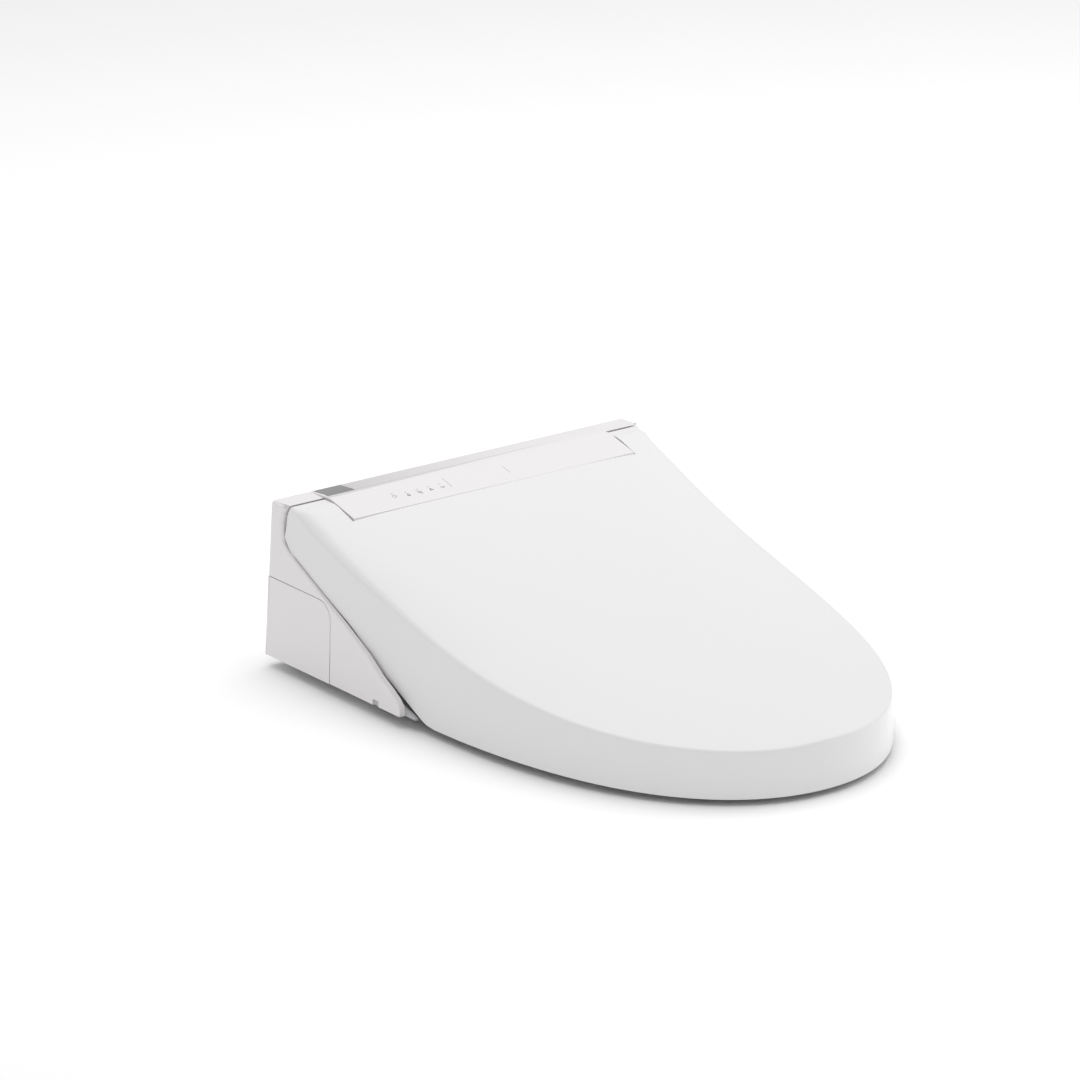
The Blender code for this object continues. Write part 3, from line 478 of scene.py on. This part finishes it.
def makeLid():
    rows = []
    rows += earCorner()
    for turn in (0.0, 8.0, 16.0, 24.0, 32.0, 39.0):  # the ear's round, from below
        c, s = math.cos(math.radians(turn)), math.sin(math.radians(turn))
        rows.append(earStation(hinge["y"] + lid["earRadius"] * c, hinge["z"] + lid["earRadius"] * s, -c, -s))
    for y, z, lean in ((234.6, 149.3, 0.45), (232.6, 150.1, 0.2)):  # soft corner at the top
        rows.append(earStation(y, z, -lean, -math.sqrt(1 - lean * lean)))
    for y in (230.0, 224.0, 218.0, 212.0, 206.0, 200.0, 195.0, lid["cutY"]):
        rows.append(lidStation(lidHalf(y), y, True))
    for y in (lid["cutY"], 185.0, 178.0, 170.0, 161.0, 152.0, 146.0, 140.0, 132.0, 123.0, 114.0, 107.0,
              100.0, 91.0, 82.0, 73.0, 64.0, 57.0, 50.0, 47.0, 44.0, 38.0, 33.0, 24.0):
        rows.append(lidStation(lidHalf(y), y, False))
    first = math.asin(((lid["baseY"] - 14.0) / (lid["baseY"] - lid["frontY"])) ** (lid["powerY"] / 2))
    last = lid["frontStations"] - 1
    for i in range(last + 1):
        turn = first + (math.pi / 2 - first) * i / last
        y = lid["baseY"] - (lid["baseY"] - lid["frontY"]) * math.sin(turn) ** (2 / lid["powerY"])
        rows.append(lidStation(lidHalf(y) if i < last else 0.0, y, False))
    shell = finished("lid_cover", gridMesh("lid_cover", rows, mirrored=True), "glossWhite", "lid",
                     smooth=50.0)
    addWall(shell, lid["wall"], edge=0.5)
    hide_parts("lid_shell")
    for side, word in ((-1, "left"), (1, "right")):
        bm = bmesh.new()
        profile = [(5.1, 0.0), (7.0, 0.0), (7.6, 0.6), (7.6, 13.9), (5.1, 13.9)]
        ring = [bm.verts.new((mm(h), mm(r), 0.0)) for r, h in profile]
        edges = [bm.edges.new((a, b)) for a, b in zip(ring, ring[1:] + ring[:1])]
        bmesh.ops.spin(bm, geom=ring + edges, cent=(0, 0, 0), axis=(1, 0, 0), angle=math.tau, steps=40,
                       use_merge=True)
        bmesh.ops.transform(bm, matrix=Matrix.Translation((mm(170.6), mm(hinge["y"]), mm(hinge["z"]))),
                            verts=bm.verts)
        if side < 0:
            bmesh.ops.scale(bm, vec=(-1, 1, 1), verts=bm.verts)
        bmesh.ops.remove_doubles(bm, verts=bm.verts, dist=mm(0.01))
        bmesh.ops.recalc_face_normals(bm, faces=bm.faces)
        mesh = bpy.data.meshes.new("lid_boss_" + word)
        bm.to_mesh(mesh)
        bm.free()
        finished("lid_boss_" + word, mesh, "satinWhite", "lid")
    print("lid made")


seat = {
    "half": 172.6, "powerX": 2.175, "powerY": 2.379, "midY": -70.0, "frontY": -257.0, "rearY": 128.0,
    "holeHalf": 108.0, "holeFront": -210.0, "holeRear": 70.0, "under": 11.0, "top": 38.0,
    "topRise": 60.0, "topStartY": -60.0, "underRise": 58.0, "wall": 3.0, "narrow": 60.0, "stations": 132,
    "armLow": 153.5, "armHigh": 168.0, "hubRadius": 11.0,
}


def seatTop(y):
    return seat["top"] + seat["topRise"] * (max(0.0, y - seat["topStartY"]) / 190.0) ** 2


def seatUnder(y):
    return seat["under"] + seat["underRise"] * (max(0.0, y) / seat["rearY"]) ** 1.5


def inSeat(x, y):
    if y < lid["baseY"]:
        along = (lid["baseY"] - y) / (lid["baseY"] - seat["frontY"])
        return (abs(x) / seat["half"]) ** seat["powerX"] + along ** seat["powerY"] < 1.0
    along = (y - lid["baseY"]) / (seat["rearY"] - lid["baseY"])
    return (abs(x) / seat["half"]) ** 12 + along ** 3 < 1.0


def inHole(x, y):
    reach = seat["midY"] - seat["holeFront"] if y < seat["midY"] else seat["holeRear"] - seat["midY"]
    return (abs(x) / seat["holeHalf"]) ** 2.2 + (abs(y - seat["midY"]) / reach) ** 2.4 < 1.0


# Where a ray from the seat's middle leaves an outline.
def rayEdge(inside, turn):
    near, far = 0.0, 400.0
    for _ in range(34):
        middle = (near + far) / 2
        hit = inside(middle * math.cos(turn), seat["midY"] + middle * math.sin(turn))
        near, far = (middle, far) if hit else (near, middle)
    return Vector((near * math.cos(turn), seat["midY"] + near * math.sin(turn)))


# The ring's section: (inset, from the outer edge?, drop below the top or None for the underside).
def seatSection():
    section = [(0.0, True, None), (0.0, True, 24.0), (0.1, True, 14.0), (0.5, True, 9.5)]
    for turn in (15, 35, 55, 75, 90):
        section.append((0.6 + 8.4 * (1 - math.cos(math.radians(turn))), True,
                        0.8 + 8.0 * (1 - math.sin(math.radians(turn)))))
    section += [(14.0, True, 0.25), (20.0, True, 0.0), (27.0, True, 0.35), (27.0, False, 2.2),
                (21.0, False, 3.6), (15.0, False, 5.3)]
    for turn in (80, 60, 40, 20, 0):
        section.append((9.0 * (1 - math.cos(math.radians(turn))), False,
                        6.2 + 8.0 * (1 - math.sin(math.radians(turn)))))
    return section + [(0.0, False, 19.0), (0.0, False, None)]


def makeSeat():
    rows = []
    for i in range(seat["stations"]):
        turn = math.tau * i / seat["stations"]
        corner = 0.16 * math.sin(2 * turn) if math.sin(turn) > 0 else 0.0  # closer steps at the rear corners
        outer, inner = rayEdge(inSeat, turn - corner * 0.5), rayEdge(inHole, turn - corner * 0.5)
        width = (inner - outer).length
        row = []
        for inset, fromOuter, drop in seatSection():
            share = inset / max(width, seat["narrow"])
            spot = outer.lerp(inner, share if fromOuter else 1.0 - share)
            if drop is not None:
                z = seatTop(spot.y) - drop
                z = max(z, seatUnder(spot.y) + 0.3) if drop > 15.0 and fromOuter else z
            else:
                z = seatUnder(spot.y) if fromOuter else min(seatUnder(spot.y), seatTop(spot.y) - 20.0)
            row.append((spot.x, spot.y, z))
        rows.append(row)
    shell = finished("seat_ring", gridMesh("seat_ring", rows, closed=True), "glossWhite", "seat",
                     smooth=60.0)
    addWall(shell, seat["wall"], edge=0.5)
    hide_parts("seat_shell")
    for side, word in ((-1, "left"), (1, "right")):
        outline = [(84.0, 62.0)]
        for i in range(25):
            turn = math.radians(118.0 - 188.0 * i / 24)
            outline.append((hinge["y"] + seat["hubRadius"] * math.cos(turn),
                            hinge["z"] + seat["hubRadius"] * math.sin(turn)))
        outline += [(190.0, 112.0), (84.0, 52.0)]
        low, high = sorted((side * seat["armLow"], side * seat["armHigh"]))
        arm = finished("seat_arm_" + word, slabMesh("seat_arm_" + word, outline, low, high), "glossWhite",
                       "seat")
        rim = arm.modifiers.new("rim", "BEVEL")
        rim.width, rim.segments, rim.limit_method = mm(1.6), 3, "ANGLE"
        rim.harden_normals = True
    print("seat made")


# A flat outline with thickness. axes names its two flat axes and the one across it.
def slabMesh(name, outline, low, high, axes="YZX"):
    bm = bmesh.new()
    order = ["XYZ".index(letter) for letter in axes]
    loops = []
    for depth in (low, high):
        loop = []
        for a, b in outline:
            spot = [0.0, 0.0, 0.0]
            for axis, value in zip(order, (a, b, depth)):
                spot[axis] = mm(value)
            loop.append(bm.verts.new(spot))
        loops.append(loop)
        bm.faces.new(loop)
    count = len(outline)
    for i in range(count):
        j = (i + 1) % count
        bm.faces.new((loops[0][i], loops[0][j], loops[1][j], loops[1][i]))
    bmesh.ops.recalc_face_normals(bm, faces=bm.faces)
    mesh = bpy.data.meshes.new(name)
    bm.to_mesh(mesh)
    bm.free()
    return mesh


vent = {"count": 13, "pitch": 7.0, "width": 3.0, "height": 26.0, "x": -150.0, "z": 96.0,
        "depth": (240.0, 275.0)}


# Copies of a blank in a row, made by a node tree with named inputs.
def repeatAlong(name, blank, count, step, look):
    tree = bpy.data.node_groups.new(name, "GeometryNodeTree")
    for label, kind in (("Geometry", "NodeSocketGeometry"), ("Count", "NodeSocketInt"),
                        ("Step", "NodeSocketVector"), ("Finish", "NodeSocketMaterial")):
        tree.interface.new_socket(label, in_out="INPUT", socket_type=kind)
    tree.interface.new_socket("Geometry", in_out="OUTPUT", socket_type="NodeSocketGeometry")
    entry = addNode(tree, "NodeGroupInput")
    line = addNode(tree, "GeometryNodeMeshLine", {"Count": entry.outputs["Count"],
                                                  "Offset": entry.outputs["Step"]})
    copies = addNode(tree, "GeometryNodeInstanceOnPoints", {"Points": line.outputs["Mesh"],
                                                            "Instance": entry.outputs["Geometry"]})
    real = addNode(tree, "GeometryNodeRealizeInstances", {"Geometry": copies.outputs["Instances"]})
    painted = addNode(tree, "GeometryNodeSetMaterial", {"Geometry": real.outputs["Geometry"],
                                                        "Material": entry.outputs["Finish"]})
    addNode(tree, "NodeGroupOutput", {"Geometry": painted.outputs["Geometry"]})
    holder = bpy.data.objects.new(name, blank)
    scene.collection.objects.link(holder)
    repeat = holder.modifiers.new("repeat", "NODES")
    repeat.node_group = tree
    sockets = {item.name: item.identifier for item in tree.interface.items_tree if item.in_out == "INPUT"}
    repeat[sockets["Count"]] = count
    repeat[sockets["Step"]] = [mm(v) for v in step]
    repeat[sockets["Finish"]] = finish[look]
    mesh = bpy.data.meshes.new_from_object(holder.evaluated_get(bpy.context.evaluated_depsgraph_get()))
    bpy.data.objects.remove(holder)
    return mesh


# Upright slots in the rear wall that the fan draws its air through.
def ventCutters():
    r, half = vent["width"] / 2, vent["height"] / 2
    outline = []
    for middle, start in ((half - r, 0), (r - half, 180)):
        outline += [(vent["x"] + r * math.cos(math.radians(start + 30 * i)),
                     vent["z"] + middle + r * math.sin(math.radians(start + 30 * i))) for i in range(7)]
    blank = slabMesh("vent_slot", outline, *vent["depth"], axes="XZY")
    mesh = repeatAlong("vent_slots", blank, vent["count"], (vent["pitch"], 0, 0), "caseWhite")
    holder = bpy.data.objects.new("vent_cutter", mesh)
    scene.collection.objects.link(holder)
    return holder


# Widths of the case's rounded edges: soft rear corners, small rounds on the wings and the strip.
def caseEdge(a, b):
    side, rear = min(abs(a.x), abs(b.x)), min(a.y, b.y)
    if side > 188.6:
        return 3.2 if rear > 234.0 and min(a.z, b.z) > 81.0 else 0.6
    if 149.0 < side and max(abs(a.x), abs(b.x)) < 151.0 and min(a.z, b.z) > 140.0:
        return 0.4
    if rear < 192.0 and max(a.y, b.y) < 192.0 and min(a.z, b.z) > 143.0:
        return 0.5
    return 0.0


def coverEdge(a, b):
    side, rear = min(abs(a.x), abs(b.x)), min(a.y, b.y)
    if side < 189.5:
        return 0.0
    return 3.2 if rear > 255.0 and abs(a.z - b.z) > 20.0 else 0.15


def makeUnit():
    softened("upper_case", "caseWhite", "unit", width=3.2, segments=4, edgeWidth=caseEdge,
             cutters=(ventCutters(),))
    for word in ("left", "right"):
        softened("side_cover_" + word, "caseWhite", "unit", width=3.2, segments=4,
                 edgeWidth=coverEdge)
    softened("lower_case", "greyAbs", "unit", width=0.6, segments=2)
    softened("base_plate", "zinc", "mounting_plate", width=0.6, segments=2)
    softened("sensor_window", "smoked", "unit", width=0.2, segments=2)
    print("unit made")


marks = {
    "stripY": 191.4, "stripZ": 143.4, "slope": 0.24855, "lift": 0.05, "line": 0.55,
    "icons": ((-95.0, 209.0, "ring"), (-82.0, 206.5, "drop"), (-70.0, 206.5, "waves"),
              (-58.0, 206.5, "fan"), (-46.0, 206.5, "seat")),
    "dividers": ((-38.0, 203.0, 219.0), (24.5, 204.0, 215.0)),
}


# Quads of a flat ring or part of one.
def ringShape(cx, cy, outer, inner, start=0.0, end=360.0, steps=20):
    faces = []
    for i in range(steps):
        a, b = (math.radians(start + (end - start) * k / steps) for k in (i, i + 1))
        faces.append([(cx + r * math.cos(t), cy + r * math.sin(t))
                      for r, t in ((inner, a), (outer, a), (outer, b), (inner, b))])
    return faces


def barShape(cx, cy, length, wide, turn=0.0):
    c, s = math.cos(math.radians(turn)), math.sin(math.radians(turn))
    corners = ((-length, -wide), (length, -wide), (length, wide), (-length, wide))
    return [[(cx + (u * c - v * s) / 2, cy + (u * s + v * c) / 2) for u, v in corners]]


def iconShape(kind, x, y):
    line = marks["line"]
    if kind == "ring":
        return ringShape(x, y, 2.1, 2.1 - line, 120.0, 420.0) + barShape(x, y + 1.7, 2.0, line, 90.0)
    if kind == "drop":
        return ringShape(x, y - 0.6, 1.6, 0.0, -210.0, 30.0, 14) + [[(x - 1.4, y + 0.2), (x + 1.4, y + 0.2),
                                                                      (x, y + 2.6)]]
    if kind == "waves":
        return [f for row in (-1.5, 0.0, 1.5) for f in ringShape(x - 1.0, y + row, 1.2, 1.2 - line, 0, 180, 8)
                + ringShape(x + 1.0, y + row, 1.2, 1.2 - line, 180, 360, 8)]
    if kind == "fan":
        return [f for turn in (90, 210, 330) for f in ringShape(
            x + 1.2 * math.cos(math.radians(turn)), y + 1.2 * math.sin(math.radians(turn)), 0.95, 0.0)]
    return ringShape(x, y, 2.0, 2.0 - line, 180.0, 360.0, 12) + barShape(x, y + 0.3, 4.6, line)


# Generic status icons and dividers, as thin ink that lies on the sloping strip.
def makeMarks():
    faces = []
    for x, y, kind in marks["icons"]:
        faces += iconShape(kind, x, y) + barShape(x, y + 4.6, 2.4, 0.45)
    for x, low, high in marks["dividers"]:
        faces += barShape(x, (low + high) / 2, high - low, 0.4, 90.0)
    bm = bmesh.new()
    for face in faces:
        flat = [(x, y, marks["stripZ"] + marks["slope"] * (y - marks["stripY"])) for x, y in face]
        top, low = ([bm.verts.new((mm(x), mm(y), mm(z + lift))) for x, y, z in flat]
                    for lift in (marks["lift"], -0.05))
        bm.faces.new(top)
        bm.faces.new(low[::-1])
        for i in range(len(flat)):
            j = (i + 1) % len(flat)
            bm.faces.new((low[i], low[j], top[j], top[i]))
    bmesh.ops.remove_doubles(bm, verts=bm.verts, dist=mm(0.005))
    bmesh.ops.recalc_face_normals(bm, faces=bm.faces)
    mesh = bpy.data.meshes.new("strip_marks")
    bm.to_mesh(mesh)
    bm.free()
    finished("strip_marks", mesh, "printGrey", "unit")
    outline = [(198.72, 143.4), (216.28, 143.4)]
    outline += [(y, marks["stripZ"] + marks["slope"] * (y - marks["stripY"])) for y in (216.28, 198.72)]
    panel = finished("indicator_cover", slabMesh("indicator_cover", outline, -100.28, -34.72), "caseWhite",
                     "unit")
    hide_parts("indicator_panel")
    print("marks made")


screw = {"radius": 3.4, "rise": 1.6, "rows": ((-150.0, 140.0), (-150.0, 246.0)), "step": 300.0,
         "underZ": 10.0}


# a domed head that points down
def screwBlank(x, y, z):
    bm = bmesh.new()
    r, h = screw["radius"], screw["rise"]
    profile = [(0.0, -h), (r * 0.45, -h * 0.96), (r * 0.8, -h * 0.7), (r, -h * 0.25), (r, 0.0), (0.0, 0.0)]
    ring = [bm.verts.new((mm(a), 0.0, mm(b))) for a, b in profile]
    edges = [bm.edges.new((a, b)) for a, b in zip(ring, ring[1:])]
    bmesh.ops.spin(bm, geom=ring + edges, cent=(0, 0, 0), axis=(0, 0, 1), angle=math.tau, steps=24,
                   use_merge=True)
    bmesh.ops.remove_doubles(bm, verts=bm.verts, dist=mm(0.005))
    bmesh.ops.recalc_face_normals(bm, faces=bm.faces)
    bmesh.ops.transform(bm, matrix=Matrix.Translation((mm(x), mm(y), mm(z))), verts=bm.verts)
    mesh = bpy.data.meshes.new("screw")
    bm.to_mesh(mesh)
    bm.free()
    return mesh


def makeScrews():
    for number, (x, y) in enumerate(screw["rows"]):
        mesh = repeatAlong(f"screw_row_{number}", screwBlank(x, y, screw["underZ"]), 2,
                           (screw["step"], 0, 0), "steel")
        finished(f"screw_row_{number}", mesh, "steel", "unit")
    print("screws made")


keep = {
    "wand_tube": "satinWhite", "wand_tip": "satinWhite", "wand_cradle": "greyAbs", "wand_motor": "blackAbs",
    "water_inlet": "chrome", "inlet_valve": "greyAbs", "water_heater": "matWhite", "air_pump": "blackAbs",
    "flow_valve": "greyAbs", "fan_housing": "greyAbs", "fan_wheel": "blackAbs", "fan_motor": "steel",
    "air_duct": "greyAbs", "air_heater": "steel", "air_flap": "glossWhite", "control_board": "board",
    "power_board": "board", "transformer": "blackAbs", "cord_gland": "rubber", "hinge_pin_left": "steel",
    "hinge_pin_right": "steel", "hinge_block_left": "greyAbs", "hinge_block_right": "greyAbs",
    "seat_damper": "steel", "lid_damper": "steel", "release_button": "greyAbs", "seat_base": "glossWhite",
    "seat_heater": "foil", "seat_bumper_front_left": "rubber", "seat_bumper_front_right": "rubber",
    "seat_bumper_rear_left": "rubber", "seat_bumper_rear_right": "rubber", "lid_bumper_left": "rubber",
    "lid_bumper_right": "rubber",
}


def dressNodes():
    for node, look in keep.items():
        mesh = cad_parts[node].data
        mesh.materials.clear()
        mesh.materials.append(finish[look])
    print("CAD nodes dressed")


placeCamera()
lightStudio()
layFloor()
scene.view_settings.view_transform = "Standard"
makeLid()
makeSeat()
makeUnit()
makeMarks()
makeScrews()
dressNodes()
